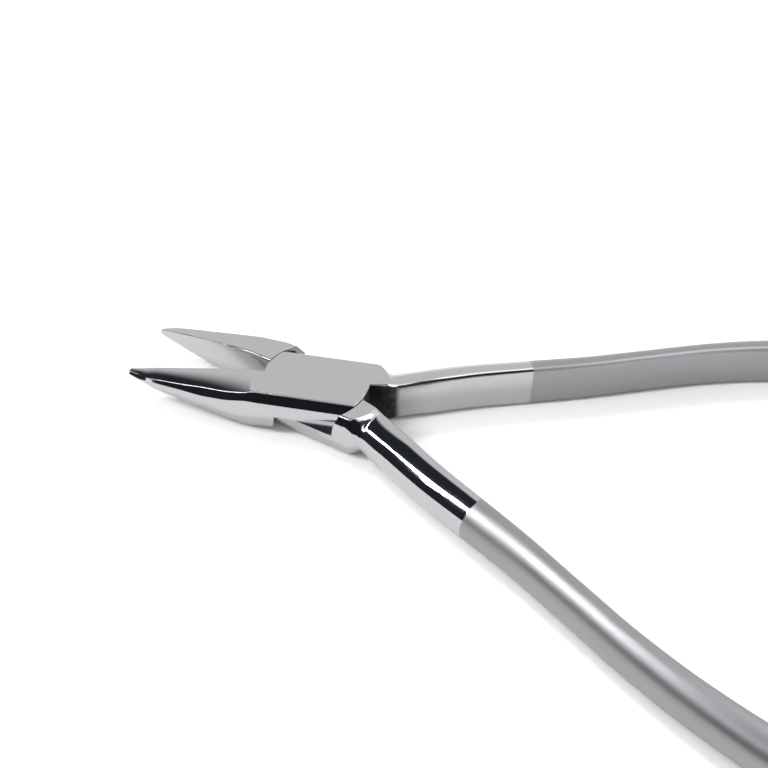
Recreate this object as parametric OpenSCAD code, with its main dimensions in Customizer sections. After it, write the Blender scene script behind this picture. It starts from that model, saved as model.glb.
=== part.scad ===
/* [Joint] */
// Thickness of the joint, both halves together
joint_thick = 7.0; // [6:0.1:8]
// Half width of the joint, at the middle of its thickness
joint_half_width = 5.4; // [5:0.1:6]
// How far the side leans in between the middle and the edge bevel
side_lean = 0.25; // [0.15:0.05:0.4]
// Width of the bevel round the ground cheek
bevel_width = 0.75; // [0.5:0.05:0.95]
// Height of the bevel round the ground cheek
bevel_height = 1.45; // [1:0.05:1.7]
// Radius of the lap on the beak side, about the pivot
beak_lap_radius = 6.6; // [6.2:0.05:7]
// Radius of the lap on the handle side, about the pivot
tail_lap_radius = 8.5; // [8:0.05:9]
// Gap between the end of a lap and the step it swings in
step_gap = 0.15; // [0.1:0.01:0.2]
// Running gap between the two lap faces
face_gap = 0.02; // [0.02:0.01:0.06]

/* [Pivot screw] */
// Diameter of the screw's bearing shoulder
shoulder_diameter = 4.0; // [3.6:0.1:4.4]
// Radial running gap round the shoulder
shoulder_gap = 0.03; // [0.02:0.01:0.06]
// Diameter of the screw's head
head_diameter = 6.0; // [5.4:0.1:6.4]
// Height of the screw's head
head_height = 1.2; // [1:0.05:1.5]
// How far the head sits below the underside
head_recess = 0.1; // [0.05:0.01:0.2]
// Gap round the head in its counterbore
head_gap = 0.05; // [0.03:0.01:0.1]
// Diameter of the threaded end
thread_diameter = 2.8; // [2.4:0.1:3.2]
// Length of the threaded end
thread_length = 2.1; // [1.6:0.1:2.3]
// Depth of the tapped hole past the end of the thread
thread_end_gap = 0.15; // [0.1:0.01:0.2]
// Width of the driver slot
slot_width = 0.8; // [0.6:0.05:1]
// Depth of the driver slot
slot_depth = 0.6; // [0.4:0.05:0.8]

/* [Beaks] */
// Distance from the pivot to the tips of the beaks
beak_reach = 27; // [24:0.5:30]
// Width of the round beak at its tip
round_tip_width = 1.0; // [0.8:0.05:1.3]
// Thickness of the round beak at its tip
round_tip_thick = 0.8; // [0.6:0.05:1]
// Width of the square beak at its tip
square_tip_width = 0.5; // [0.4:0.02:0.7]
// Thickness of the square beak at its tip
square_tip_thick = 0.56; // [0.4:0.02:0.7]
// Gap between the closed beaks, shared by the two halves
closed_gap = 0.06; // [0.04:0.01:0.1]

/* [Handles] */
// Distance from the pivot to the ends of the handles
handle_reach = 103; // [98:1:112]
// Widest distance of a handle's inner face from the middle line
handle_spread = 21.2; // [19:0.2:23]
// Thickness of a handle
handle_thick = 6.9; // [6:0.1:6.9]
// Width of the neck, just behind the joint
neck_width = 4.7; // [4.3:0.1:5]
// Thickness of the neck, just behind the joint
neck_thick = 6.4; // [6:0.1:6.8]
// Width of a handle in its slim stretch
slim_width = 3.5; // [3.2:0.1:3.9]
// Width of a handle where the palm holds it
palm_width = 4.3; // [4:0.1:4.8]
// Where the block starts to run into the half round neck
neck_start = 8.2; // [7.8:0.1:8.8]
// Length over which the block runs into the half round neck
neck_blend = 4.3; // [3.8:0.1:4.8]
// Length over which the neck grows to the handle's thickness
neck_swell = 6.0; // [4:0.2:9]

/* [Pose] */
// Angle between the two halves as they lie
rest_opening = 18.5; // [1:0.5:34]

/* [Hidden] */
$fn = 96;
steel = [0.78, 0.79, 0.8];
screw_steel = [0.7, 0.71, 0.73];
// Overrun of every cut past the surface that it cuts
overrun = 0.4;
// Height that is ground off the forging on each side to make the flat cheeks,
// and how much higher the handle side of the forging stands before that
grinding = 0.28;
handle_side_rise = 0.52;
// How far the two lofts of one half reach into each other across the middle line
lap_over = 0.5;
// Round of the tip of a beak and of the end of a handle, along its length
beak_tip_round = 0.3;
handle_end_round = 3.4;
// Broken edge between the inner face and the top
edge_break = 0.14;
// Points on a rounded corner, and stations along each loft
corner_steps = 5;
beak_stations = 26;
neck_stations = 14;
handle_stations = 34;
// How strongly the stations crowd towards the tip and towards the handle's end
tip_crowding = 1.5;
end_crowding = 1.35;
// Share of the full section that the first and the last station keep
end_share = 0.2;
// Most that two rounded corners take of the side between them
round_share = 0.96;
// Heights of the points on a side between its two bevels, and places of the extra points
// across the crowned top of a beak
side_shares = [0.5, 0, -0.5];
crown_shares = [0.3, 0.55, 0.8];
// How the crown falls away: with this power of the distance from the inner face
crown_power = 2.2;

mid_z = joint_thick / 2;
lap_z = mid_z + face_gap / 2;
forging_half = mid_z + grinding;
beak_step_radius = beak_lap_radius + step_gap;
tail_step_radius = tail_lap_radius + step_gap;
half_closed_gap = closed_gap / 2;
beak_length = beak_reach - beak_lap_radius;
handle_length = handle_reach - tail_lap_radius;
neck_end = neck_start + neck_blend;
// Where the handle side draws back from across the middle line
draw_back_length = 2 * lap_over;
draw_back_start = tail_lap_radius - draw_back_length;

// Key sections of the two beaks, from the tip (0) to the root (1):
// [length share, width share, thickness share, squareness, roundness of the inner side,
// fall of the crown as a share of the width, size of the bevel for the width]
round_beak_shares = [
    [0.00, 0.00, 0.00, 0.50, 0.60, 0.120, 0.95],
    [0.10, 0.20, 0.10, 0.80, 0.30, 0.130, 1.03],
    [0.20, 0.37, 0.24, 1.00, 0.15, 0.130, 1.03],
    [0.40, 0.58, 0.42, 1.00, 0.05, 0.120, 1.10],
    [0.60, 0.79, 0.61, 1.00, 0.00, 0.105, 1.22],
    [0.80, 0.96, 0.79, 1.00, 0.00, 0.085, 1.05],
    [0.94, 1.00, 0.93, 1.00, 0.00, 0.060, 0.95],
    [1.00, 1.00, 1.00, 1.00, 0.00, 0.030, 1.00]
];
square_beak_shares = [
    [0.00, 0.00, 0.00, 1.00, 0.00, 0, 1],
    [0.10, 0.13, 0.18, 1.00, 0.00, 0, 1],
    [0.23, 0.26, 0.35, 1.00, 0.00, 0, 1],
    [0.43, 0.42, 0.57, 1.00, 0.00, 0, 1],
    [0.60, 0.57, 0.75, 1.00, 0.00, 0, 1],
    [0.80, 0.78, 0.91, 1.00, 0.00, 0, 1],
    [1.00, 1.00, 1.00, 1.00, 0.00, 0, 1]
];
// Inner face of a handle in plan, from the crotch (0) to the end (1):
// [length share, spread share]
handle_line_shares = [
    [0.00, 0.000],
    [0.03, 0.018],
    [0.07, 0.085],
    [0.15, 0.228],
    [0.23, 0.348],
    [0.31, 0.468],
    [0.40, 0.620],
    [0.49, 0.765],
    [0.57, 0.862],
    [0.66, 0.935],
    [0.78, 0.990],
    [0.88, 1.000],
    [1.00, 0.925]
];
// Length shares at which a handle is slimmest and at which it is as wide as the palm wants
slim_share = 0.43;
palm_share = 0.78;
// Roundness of the inner edges of a handle at the neck and in the palm
neck_round_share = 0.15;
palm_round_share = 0.3;

function mix(a, b, t) = a + (b - a) * t;
function ease(t) = let (c = min(1, max(0, t))) c * c * (3 - 2 * c);

// Slope of column k at row i: a mean of the two neighbouring slopes that never overshoots
function row_slope(rows, i, k) =
    let (
        last = len(rows) - 1,
        before = i == 0 ? 1 : i,
        after = i == last ? last - 1 : i,
        d0 = (rows[before][k] - rows[before - 1][k]) / (rows[before][0] - rows[before - 1][0]),
        d1 = (rows[after + 1][k] - rows[after][k]) / (rows[after + 1][0] - rows[after][0])
    )
    i == 0 ? d1 : i == last ? d0 : d0 * d1 <= 0 ? 0 : 2 * d0 * d1 / (d0 + d1);

// Index of the row that starts the stretch holding u
function row_index(rows, u, i = 0) =
    i >= len(rows) - 2 || u < rows[i + 1][0] ? i : row_index(rows, u, i + 1);

// Value of column k at u, on a smooth curve through the rows
function row_value(rows, u, k) =
    let (
        i = row_index(rows, u),
        span = rows[i + 1][0] - rows[i][0],
        t = (u - rows[i][0]) / span
    )
    rows[i][k] * (2 * pow(t, 3) - 3 * pow(t, 2) + 1)
    + row_slope(rows, i, k) * span * (pow(t, 3) - 2 * pow(t, 2) + t)
    + rows[i + 1][k] * (3 * pow(t, 2) - 2 * pow(t, 3))
    + row_slope(rows, i + 1, k) * span * (pow(t, 3) - pow(t, 2));

// Quarter of an ellipse (straight 0) or its chord (straight 1), t from 0 to 1
function corner(t, straight) =
    [mix(sin(90 * t), t, straight), mix(cos(90 * t), 1 - t, straight)];

// One cross-section as [distance from the inner plane, height about the middle].
// inner and outer are the two sides, half the half height, square 1 for a bevelled
// block and 0 for a half round, inner_round 1 turns the inner side round as well.
// The bevel is drawn on past the cheek, because the cheek is ground flat through it.
// bevel is the bevel's size for the width, top_shares the places of extra points on the top.
function section(inner, outer, half, square, inner_round, bevel = 1, top_shares = []) =
    let (
        width = outer - inner,
        broad = min(1, width / joint_half_width),
        size = broad * bevel * (1 + max(0, half - mid_z) / bevel_height),
        lean = side_lean * square * broad,
        in_w = mix(edge_break * broad, width / 2 * round_share, inner_round),
        in_h = mix(edge_break * broad, half * round_share, inner_round),
        out_w = mix((width - in_w) * round_share, bevel_width * size, square),
        out_h = mix(half * round_share, bevel_height * size, square),
        steps = [for (i = [0 : corner_steps]) i / corner_steps],
        top = [for (q = top_shares) mix(inner + in_w, outer - lean - out_w, q)],
        last_top = len(top) - 1
    )
    concat(
        [for (t = steps) let (c = corner(t, 0))
            [inner + in_w * (1 - c[0]), -half + in_h * (1 - c[1])]],
        [for (t = steps) let (c = corner(1 - t, 0))
            [inner + in_w * (1 - c[0]), half - in_h * (1 - c[1])]],
        [for (across = top) [across, half]],
        [for (t = steps) let (c = corner(t, square))
            [outer - lean - out_w * (1 - c[0]), half - out_h * (1 - c[1])]],
        [for (q = side_shares)
            [outer - lean * pow(q, 2), q * (half - out_h)]],
        [for (t = steps) let (c = corner(1 - t, square))
            [outer - lean - out_w * (1 - c[0]), -half + out_h * (1 - c[1])]],
        [for (i = [last_top : -1 : 0]) [top[i], -half]]
    );

// Brings a section's points under a crown, which falls away from the inner face on both sides
function crowned(points, inner, outer, half, crown) =
    let (width = outer - inner)
    [for (p = points)
        let (
            fall = crown * width * pow(min(1, max(0, (p[0] - inner) / width)), crown_power),
            height = min(abs(p[1]), half - fall)
        )
        [p[0], p[1] < 0 ? -height : height]];

// Shrinks a section towards its own middle near a rounded end
function closed_up(points, keep) =
    let (
        across = [for (p = points) p[0]],
        middle = (max(across) + min(across)) / 2
    )
    [for (p = points) [middle + (p[0] - middle) * keep, p[1] * keep]];

// Share of the full section at a distance from an end that is rounded over round_length
function end_keep(distance, round_length) =
    distance >= round_length
        ? 1
        : max(end_share, sqrt(1 - pow(1 - distance / round_length, 2)));

// Middle of a ring of points
function ring_middle(ring) =
    [for (k = [0 : 2]) let (values = [for (p = ring) p[k]]) (max(values) + min(values)) / 2];

// Solid skin over a row of rings that all have the same number of points,
// closed at each end by a fan about the ring's middle
module loft(rings) {
    count = len(rings[0]);
    last = len(rings) - 1;
    first_middle = count * len(rings);
    points = concat(
        [for (ring = rings) each ring],
        [ring_middle(rings[0]), ring_middle(rings[last])]
    );
    walls = [
        for (s = [0 : last - 1]) for (i = [0 : count - 1])
            let (a = s * count + i, b = s * count + (i + 1) % count)
            each [[a, a + count, b], [b, a + count, b + count]]
    ];
    fans = [
        for (i = [0 : count - 1])
            let (j = (i + 1) % count)
            each [[i, j, first_middle], [last * count + j, last * count + i, first_middle + 1]]
    ];
    polyhedron(points = points, faces = concat(walls, fans), convexity = 8);
}

// What lies outside a lap's arc, on the beak side (way -1) or on the handle side (way 1)
module outside_arc(radius, way) {
    reach = tail_step_radius + 2 * overrun;
    depth = joint_thick + 2 * overrun;
    translate([0, 0, -overrun])
        difference() {
            translate([way > 0 ? 0 : -reach, -reach, 0]) cube([reach, 2 * reach, depth]);
            translate([0, 0, -overrun]) cylinder(r = radius, h = depth + 2 * overrun);
        }
}

// Section of a beak at u (0 tip, 1 root)
function beak_section(shares, tip_width, tip_thick, u) =
    let (
        inner = half_closed_gap,
        outer = inner + mix(tip_width, joint_half_width - inner, row_value(shares, u, 1)),
        half = mix(tip_thick / 2, forging_half, row_value(shares, u, 2)),
        square = row_value(shares, u, 3),
        inner_round = row_value(shares, u, 4),
        crown = row_value(shares, u, 5),
        bevel = row_value(shares, u, 6)
    )
    crowned(
        section(inner, outer, half, square, inner_round, bevel, crown_shares),
        inner, outer, half, crown
    );

// Ring of a loft on the beak side: the section stands across the x axis, outwards to -y
function beak_ring(points, x) = [for (p = points) [x, -p[0], mid_z + p[1]]];

// The beak side of a half: the beak, then its side of the joint block
module beak_side(shares, tip_width, tip_thick) {
    stations = [for (i = [0 : beak_stations]) pow(i / beak_stations, tip_crowding)];
    beak_rings = [
        for (u = stations)
            let (distance = u * beak_length)
            beak_ring(
                closed_up(
                    beak_section(shares, tip_width, tip_thick, u),
                    end_keep(distance, beak_tip_round)
                ),
                distance - beak_reach
            )
    ];
    block = section(-lap_over, joint_half_width, forging_half, 1, 0, 1, crown_shares);
    block_rings = [
        beak_ring(block, lap_over - beak_lap_radius),
        beak_ring(block, tail_step_radius + overrun)
    ];
    difference() {
        loft(concat(beak_rings, block_rings));
        outside_arc(tail_lap_radius, 1);
    }
}

// Plan of the inner face of the handle, and the angle at which it runs, at x
function line_share(x) = max(0, (x - tail_lap_radius) / handle_length);
function line_y(x) =
    half_closed_gap + handle_spread * row_value(handle_line_shares, line_share(x), 1);
function line_turn(x) = atan2(line_y(x + overrun) - line_y(x - overrun), 2 * overrun);

// Width of the handle at x
function handle_width(x) =
    let (u = line_share(x))
    u < slim_share
        ? mix(neck_width, slim_width, ease(u / slim_share))
        : mix(slim_width, palm_width, ease((u - slim_share) / (palm_share - slim_share)));

// Section of the handle side at x: block up to neck_start, half round from the neck on.
// The forging falls below the cheek on the way, which gives the ground cheek a crisp end.
function tail_section(x) =
    let (
        t = ease((x - neck_start) / neck_blend),
        swell = ease((x - neck_end) / neck_swell),
        over = lap_over * (1 - ease((x - draw_back_start) / draw_back_length)),
        palm = ease((line_share(x) - slim_share / 2) / slim_share)
    )
    section(
        -over,
        mix(joint_half_width, handle_width(x), t),
        mix(forging_half + handle_side_rise, mix(neck_thick, handle_thick, swell) / 2, t),
        1 - t,
        mix(neck_round_share * t, palm_round_share, palm)
    );

// Ring of a loft on the handle side: it stands across the inner face, outwards to +y.
// Its points are taken backwards, because it faces the other way than the beak's rings.
function tail_ring(points, x) =
    let (turn = line_turn(x), last = len(points) - 1)
    [for (i = [last : -1 : 0])
        let (p = points[i])
        [x - p[0] * sin(turn), line_y(x) + p[0] * cos(turn), mid_z + p[1]]];

// The handle side of a half: its side of the joint block, neck and handle
module handle_side() {
    neck_run = [for (i = [0 : neck_stations]) mix(draw_back_start, neck_end, i / neck_stations)];
    handle_run = [for (i = [1 : handle_stations])
        mix(neck_end, handle_reach, 1 - pow(1 - i / handle_stations, end_crowding))];
    rings = [
        for (x = concat([-beak_step_radius - overrun], neck_run, handle_run))
            tail_ring(
                closed_up(tail_section(x), end_keep(handle_reach - x, handle_end_round)),
                x
            )
    ];
    difference() {
        loft(rings);
        outside_arc(beak_lap_radius, -1);
    }
}

// Room under the upper lap for the lower lap to swing in
module lap_pocket() {
    translate([0, 0, -overrun]) {
        cylinder(r = beak_step_radius, h = lap_z + overrun);
        intersection() {
            cylinder(r = tail_step_radius, h = lap_z + overrun);
            translate([0, -tail_step_radius, 0])
                cube([tail_step_radius + overrun, 2 * tail_step_radius, lap_z + overrun]);
        }
    }
}

// One half, closed, with its lap on top: beak to -x and -y, handle to +x and +y
module half_forging(shares, tip_width, tip_thick) {
    reach = handle_reach + beak_reach;
    difference() {
        intersection() {
            union() {
                beak_side(shares, tip_width, tip_thick);
                handle_side();
            }
            translate([-reach, -reach, 0]) cube([2 * reach, 2 * reach, joint_thick]);
        }
        lap_pocket();
    }
}

// Upper lap with the round beak, tapped blind from below for the pivot screw
module round_beak_half() {
    color(steel)
        rotate([0, 0, rest_opening / 2])
            difference() {
                half_forging(round_beak_shares, round_tip_width, round_tip_thick);
                translate([0, 0, lap_z - overrun])
                    cylinder(d = thread_diameter, h = thread_length + thread_end_gap + overrun);
            }
}

// Lower lap with the square beak, bored and counterbored for the pivot screw
module square_beak_half() {
    counterbore_depth = head_recess + head_height + face_gap;
    color(steel)
        rotate([0, 0, -rest_opening / 2])
            difference() {
                translate([0, 0, joint_thick])
                    rotate([180, 0, 0])
                        half_forging(square_beak_shares, square_tip_width, square_tip_thick);
                translate([0, 0, -overrun])
                    cylinder(d = head_diameter + 2 * head_gap, h = counterbore_depth + overrun);
                cylinder(d = shoulder_diameter + 2 * shoulder_gap, h = joint_thick);
            }
}

// Shoulder screw: slotted head below, bearing shoulder, thread up into the round half
module pivot_screw() {
    color(screw_steel)
        difference() {
            translate([0, 0, head_recess]) {
                cylinder(d = head_diameter, h = head_height);
                cylinder(d = shoulder_diameter, h = lap_z - head_recess);
                cylinder(d = thread_diameter, h = lap_z - head_recess + thread_length);
            }
            translate([-head_diameter, -slot_width / 2, head_recess - overrun])
                cube([2 * head_diameter, slot_width, slot_depth + overrun]);
        }
}

round_beak_half();
square_beak_half();
pivot_screw();
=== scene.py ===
# %% [markdown]
# # Dental pliers in polished and satin steel
# Two forged halves lap over each other and turn on one screw. Every visible surface is worked
# out as a numpy grid from the same sizes as the CAD model, and dressed with steel that is
# polished on the beaks, the joint and the necks, and satin blasted where the hand holds it.
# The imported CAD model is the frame: the new pieces ride on its bodies and stay inside its box.

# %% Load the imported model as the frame
import math
import bmesh
import bpy
import numpy as np
from mathutils import Matrix, Vector


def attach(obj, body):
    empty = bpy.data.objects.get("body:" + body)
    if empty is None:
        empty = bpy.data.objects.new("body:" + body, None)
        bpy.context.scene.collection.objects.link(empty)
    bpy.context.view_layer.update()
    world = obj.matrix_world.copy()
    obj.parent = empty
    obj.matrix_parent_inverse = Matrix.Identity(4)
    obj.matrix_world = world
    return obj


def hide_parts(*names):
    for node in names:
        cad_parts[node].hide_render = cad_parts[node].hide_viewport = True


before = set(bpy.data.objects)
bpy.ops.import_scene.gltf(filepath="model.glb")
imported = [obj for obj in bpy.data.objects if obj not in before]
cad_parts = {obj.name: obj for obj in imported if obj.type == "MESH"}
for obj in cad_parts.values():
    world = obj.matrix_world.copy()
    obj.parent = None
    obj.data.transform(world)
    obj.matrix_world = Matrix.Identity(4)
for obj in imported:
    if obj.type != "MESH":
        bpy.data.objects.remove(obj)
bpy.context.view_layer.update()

# %% [markdown]
# ## The camera
# The photograph looks down on the pliers from the side of the near handle. The place of the
# camera was found by matching the corners of the joint, whose sizes are known, to their places
# in the picture. Distances are thought of in millimetres here, and MM turns them into metres.

# %% Camera at the photograph's viewing angle
MM = 0.001
CAMERA_PLACE = np.array([46.88, -96.02, 109.62])
CAMERA_TURN = math.radians(20.5)
CAMERA_DOWN = math.radians(44.37)
PICTURE_SIDE = 768
FOCUS_IN_PIXELS = 1062
SENSOR_WIDTH = 36

camera_data = bpy.data.cameras.new("camera")
camera_data.sensor_width = SENSOR_WIDTH
camera_data.lens = SENSOR_WIDTH * FOCUS_IN_PIXELS / PICTURE_SIDE
camera_data.clip_start = 0.005
camera_data.clip_end = 20
camera = bpy.data.objects.new("camera", camera_data)
camera.location = Vector(CAMERA_PLACE * MM)
camera.rotation_euler = (math.pi / 2 - CAMERA_DOWN, 0, CAMERA_TURN)
bpy.context.scene.collection.objects.link(camera)
bpy.context.scene.camera = camera
print("lens in mm:", round(camera_data.lens, 2))

# %% [markdown]
# ## The sizes
# These are the driving sizes of the pliers in millimetres. Each half is described in its own
# frame: the pivot axis is Z, the closed pliers lie along X with the beaks to minus X, and the
# half's own lap is on top. The other half is the same thing turned over.

# %% Driving sizes of a half, in millimetres
# the joint block, whose cheek is ground down by GRINDING
JOINT_THICK = 7.0
MIDDLE = JOINT_THICK / 2
HALF_WIDTH = 5.4
SIDE_LEAN = 0.25
BEVEL_WIDTH = 0.75
BEVEL_HEIGHT = 1.45
GRINDING = 0.28
# the arcs that end the laps, and the play between the halves
BEAK_LAP_RADIUS = 6.6
TAIL_LAP_RADIUS = 8.5
STEP_GAP = 0.15
FACE_GAP = 0.02
HALF_GAP = 0.03
LAP_FACE = MIDDLE + FACE_GAP / 2
# how far a loft reaches over the middle line, and a cutter past what it cuts
LAP_OVER = 0.5
OVERRUN = 0.4
# beak, neck and handle
BEAK_REACH = 27.0
BEAK_LENGTH = BEAK_REACH - BEAK_LAP_RADIUS
HANDLE_REACH = 103.0
HANDLE_LENGTH = HANDLE_REACH - TAIL_LAP_RADIUS
HANDLE_SPREAD = 21.2
HANDLE_HALF = 3.45
HANDLE_RISE = 0.52
NECK_START = 8.2
NECK_BLEND = 4.3
NECK_SWELL = 6.0
NECK_THICK = 6.4
NECK_WIDTH = 4.7
SLIM_WIDTH = 3.5
PALM_WIDTH = 4.3
REST_OPENING = math.radians(18.5)
print("one half in mm:", BEAK_REACH, "from pivot to tip,", HANDLE_REACH, "to the handle's end")

# %% [markdown]
# ## Key sections
# A designer draws a beak or a handle through a few key sections. The rows of a beak's table
# give them as shares of what the root has. The first column is the place from tip (0) to root
# (1). Then come width, thickness, how square the outer corner is, how round the inner edge is,
# how far the top falls outwards, and the size of the bevel. The handle's table gives the place
# along the handle and the distance of its inner face from the middle line.

# %% Tables of key sections
ROUND_BEAK_SHARES = np.array([
    [0.00, 0.00, 0.00, 0.50, 0.60, 0.120, 0.95],
    [0.10, 0.20, 0.10, 0.80, 0.30, 0.130, 1.03],
    [0.20, 0.37, 0.24, 1.00, 0.15, 0.130, 1.03],
    [0.40, 0.58, 0.42, 1.00, 0.05, 0.120, 1.10],
    [0.60, 0.79, 0.61, 1.00, 0.00, 0.105, 1.22],
    [0.80, 0.96, 0.79, 1.00, 0.00, 0.085, 1.05],
    [0.94, 1.00, 0.93, 1.00, 0.00, 0.060, 0.95],
    [1.00, 1.00, 1.00, 1.00, 0.00, 0.030, 1.00],
])
SQUARE_BEAK_SHARES = np.array([
    [0.00, 0.00, 0.00, 1.00, 0.00, 0.00, 1.00],
    [0.10, 0.13, 0.18, 1.00, 0.00, 0.00, 1.00],
    [0.23, 0.26, 0.35, 1.00, 0.00, 0.00, 1.00],
    [0.43, 0.42, 0.57, 1.00, 0.00, 0.00, 1.00],
    [0.60, 0.57, 0.75, 1.00, 0.00, 0.00, 1.00],
    [0.80, 0.78, 0.91, 1.00, 0.00, 0.00, 1.00],
    [1.00, 1.00, 1.00, 1.00, 0.00, 0.00, 1.00],
])
HANDLE_LINE_SHARES = np.array([
    [0.00, 0.000], [0.03, 0.018], [0.07, 0.085], [0.15, 0.228], [0.23, 0.348],
    [0.31, 0.468], [0.40, 0.620], [0.49, 0.765], [0.57, 0.862], [0.66, 0.935],
    [0.78, 0.990], [0.88, 1.000], [1.00, 0.925],
])
print("key sections:", len(ROUND_BEAK_SHARES), "on the round beak,",
      len(SQUARE_BEAK_SHARES), "on the square beak,", len(HANDLE_LINE_SHARES), "on a handle")

# %% [markdown]
# ## A curve through the key sections
# Between its rows each value follows a cubic curve whose slopes are a harmonic mean of the
# neighbouring ones. An ordinary spline would swing past the rows and leave shallow dents, and
# a mirror polish shows those at once. This curve never overshoots.

# %% The curve, and two small helpers
def mix(a, b, t):
    """a where t is 0, b where t is 1, and a straight line between them."""
    return a + (b - a) * t


def ease(t):
    """0 up to t = 0, 1 from t = 1, and a smooth S-curve between them."""
    c = np.clip(t, 0, 1)
    return c * c * (3 - 2 * c)


def through(table, u, column):
    """Cubic curve through a column of a table, read at the places u of its first column.
    The slope at each row is the harmonic mean of the slopes on both sides, or 0 at a turn."""
    places, values = table[:, 0], table[:, column]
    steps = np.diff(values) / np.diff(places)
    same_way = steps[:-1] * steps[1:] > 0
    total = np.where(same_way, steps[:-1] + steps[1:], 1)
    inner = np.where(same_way, 2 * steps[:-1] * steps[1:] / total, 0)
    slopes = np.concatenate([steps[:1], inner, steps[-1:]])
    i = np.clip(np.searchsorted(places, u, side="right") - 1, 0, len(places) - 2)
    span = places[i + 1] - places[i]
    t = (u - places[i]) / span
    return (
        values[i] * (2 * t**3 - 3 * t**2 + 1)
        + slopes[i] * span * (t**3 - 2 * t**2 + t)
        + values[i + 1] * (3 * t**2 - 2 * t**3)
        + slopes[i + 1] * span * (t**3 - t**2)
    )


halfway = np.array([0.5])
print("halfway along, the round beak has", through(ROUND_BEAK_SHARES, halfway, 1).round(3)[0],
      "of its width and the square beak", through(SQUARE_BEAK_SHARES, halfway, 1).round(3)[0])

# %% [markdown]
# ## One cross-section
# The section of a half changes along its length from a round or square tip through a bevelled
# block to a half round handle. Sweeping one fixed profile can't do that. So all of them are one
# path with five stretches, whose shares change: inner face, inner edge, top, outer corner and
# side. The outer corner is a quarter ellipse on a handle and its chord, a bevel, on the block.

# %% The upper half of a section as one path
STRETCH = 160
CROWN_POWER = 2.2


def five_stretches(inner, outer, half, square, inner_round, edge, bevel):
    """Path of STRETCH points in each stretch. An edge is a quarter ellipse; the outer corner
    goes from a quarter ellipse to its chord, and the side from upright to leaning, by square."""
    width = outer - inner
    broad = np.minimum(1, width / HALF_WIDTH)
    size = broad * bevel * (1 + np.maximum(0, half - MIDDLE) / BEVEL_HEIGHT)
    lean = SIDE_LEAN * square * broad
    in_w = mix(edge * broad, width / 2, inner_round)
    in_h = mix(edge * broad, half, inner_round)
    out_w = mix(width - in_w, BEVEL_WIDTH * size, square)
    out_h = mix(half, BEVEL_HEIGHT * size, square)
    t = np.linspace(0, 1, STRETCH)[None, :]
    sine, cosine = np.sin(t * math.pi / 2), np.cos(t * math.pi / 2)
    across = np.concatenate([
        inner + 0 * t,
        inner + in_w * (1 - cosine),
        mix(inner + in_w, outer - lean - out_w, t),
        outer - lean - out_w * (1 - mix(sine, t, square)),
        outer - lean * (1 - t) ** 2,
    ], axis=1)
    top = np.minimum(half, MIDDLE)
    height = np.concatenate([
        (top - in_h) * t,
        top - in_h * (1 - sine),
        top + 0 * t,
        half - out_h * (1 - mix(cosine, 1 - t, square)),
        (half - out_h) * (1 - t),
    ], axis=1)
    return across, height


def ground_down(across, height, inner, width, half, crown):
    """The heights cut to what the grinding leaves, and where it cuts. The limit is the cheek,
    or the half height less crown times the share of the width to the power CROWN_POWER."""
    fall = crown * width * np.clip((across - inner) / width, 0, 1) ** CROWN_POWER
    limit = np.minimum(MIDDLE, half - fall)
    return np.minimum(height, limit), height > limit + 1e-9


print("points along the upper half of a section:", 5 * STRETCH)

# %% [markdown]
# ## Where the edges lie
# Crisp reflections need many faces at the edges and only a few on the flats. So each path
# tells where its three edges are: the inner edge, the crease at which the flat top ends, and
# the foot of the outer corner. A round section has no crease, so even shares stand in for it.

# %% Evenly sampled paths and their edges
PATH_SAMPLES = 900
ROUND_CREASE_SHARE = 0.36
ROUND_FOOT_SHARE = 0.5
LEAST_SHARE = 0.1
EDGE_BREAK = 0.14


def edge_places(run, ground, square):
    """Places of the three edges as shares of the path, from the running length along it, from
    where it is ground, and from how square it is. The last ground point is the crease."""
    whole = run[:, -1]
    cut = ground.any(axis=1)
    last_ground = ground.shape[1] - 1 - np.argmax(ground[:, ::-1], axis=1)
    ground_end = run[np.arange(len(run)), last_ground]
    inner_edge = run[:, STRETCH + STRETCH // 2] / whole
    crease = np.where(cut, ground_end, run[:, 3 * STRETCH]) / whole
    foot = run[:, 4 * STRETCH] / whole
    plain = 1 - square[:, 0]
    stand_in = inner_edge + ROUND_CREASE_SHARE * (1 - inner_edge)
    top_edge = np.where(cut, np.maximum(crease, stand_in * plain), 0)
    top_edge = np.maximum(top_edge, mix(crease, stand_in, plain))
    side_edge = mix(foot, top_edge + ROUND_FOOT_SHARE * (1 - top_edge), plain)
    return inner_edge, top_edge, np.maximum(side_edge, top_edge + LEAST_SHARE)


def half_paths(inner, outer, half, square, inner_round, edge, crown, bevel):
    """Upper half of each section, from the middle of the inner face to the middle of the side,
    one row by station: across and height at even steps of the path, then the three edges."""
    inner, outer, half, square, inner_round, edge, crown, bevel = np.broadcast_arrays(
        *[np.atleast_1d(v).astype(float)[:, None]
          for v in (inner, outer, half, square, inner_round, edge, crown, bevel)]
    )
    across, height = five_stretches(inner, outer, half, square, inner_round, edge, bevel)
    height, ground = ground_down(across, height, inner, outer - inner, half, crown)
    pace = np.hypot(np.diff(across, axis=1), np.diff(height, axis=1))
    run = np.concatenate([0 * inner, np.cumsum(pace, axis=1)], axis=1)
    shares = run / run[:, -1:]
    even = np.linspace(0, 1, PATH_SAMPLES + 1)
    even_across = np.stack([np.interp(even, s, a) for s, a in zip(shares, across)])
    even_height = np.stack([np.interp(even, s, h) for s, h in zip(shares, height)])
    return even_across, even_height, edge_places(run, ground, square)


block_path = half_paths(-LAP_OVER, HALF_WIDTH, MIDDLE + GRINDING, 1, 0, EDGE_BREAK, 0, 1)
print("edges of the block, as shares of its path:",
      [round(float(edge[0]), 3) for edge in block_path[2]])

# %% [markdown]
# ## Rings
# Forged and buffed steel has no knife edges. A small Gaussian blur along the path gives every
# corner its fine round at once, also where the section changes from one station to the next.
# Then the columns of the grid gather at the edges.

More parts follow.
